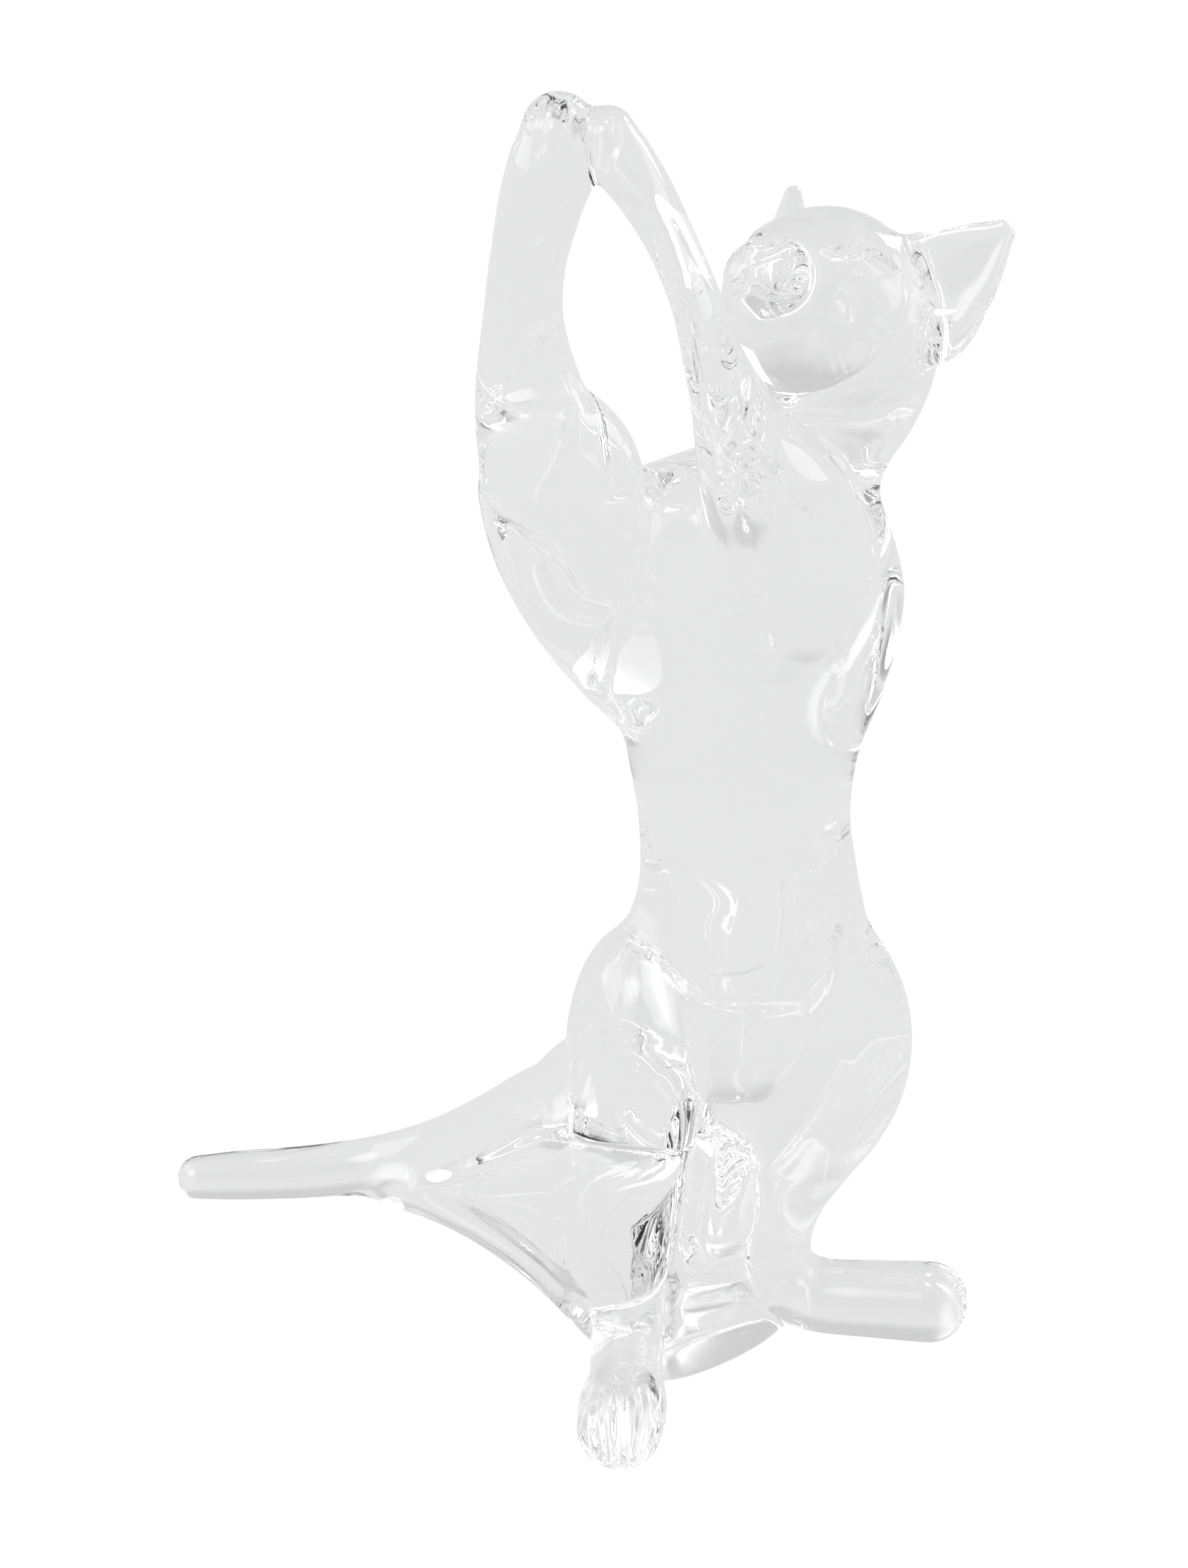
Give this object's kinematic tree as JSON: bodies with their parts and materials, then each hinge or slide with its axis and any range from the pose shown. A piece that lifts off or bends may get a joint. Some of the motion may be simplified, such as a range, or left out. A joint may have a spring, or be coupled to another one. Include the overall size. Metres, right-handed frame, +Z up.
{
  "type": "crystal cat figurine",
  "caption": "Clear crystal glass cat standing on its hind legs, reaching up with joined forepaws, head tilted back and long tail resting on the surface.",
  "frame": {"origin": "on the flat underside of the glass web between the feet, at the surface that the figurine stands on", "axes": "+Z up, the belly and the right hind foot face -Y, the cat's own left is +X and the tail runs towards -X and +Y"},
  "size_m": [0.1251, 0.1038, 0.1975],
  "materials": {
    "crystal": "clear, colourless, fire-polished"
  },
  "bodies": {
    "root": {"torso": "crystal", "head": "crystal", "ear_left": "crystal", "ear_right": "crystal", "foreleg_left": "crystal", "foreleg_right": "crystal", "hind_leg_left": "crystal", "hind_leg_right": "crystal", "tail": "crystal", "tail_web": "crystal", "leg_web": "crystal"}
  },
  "joints": []
}
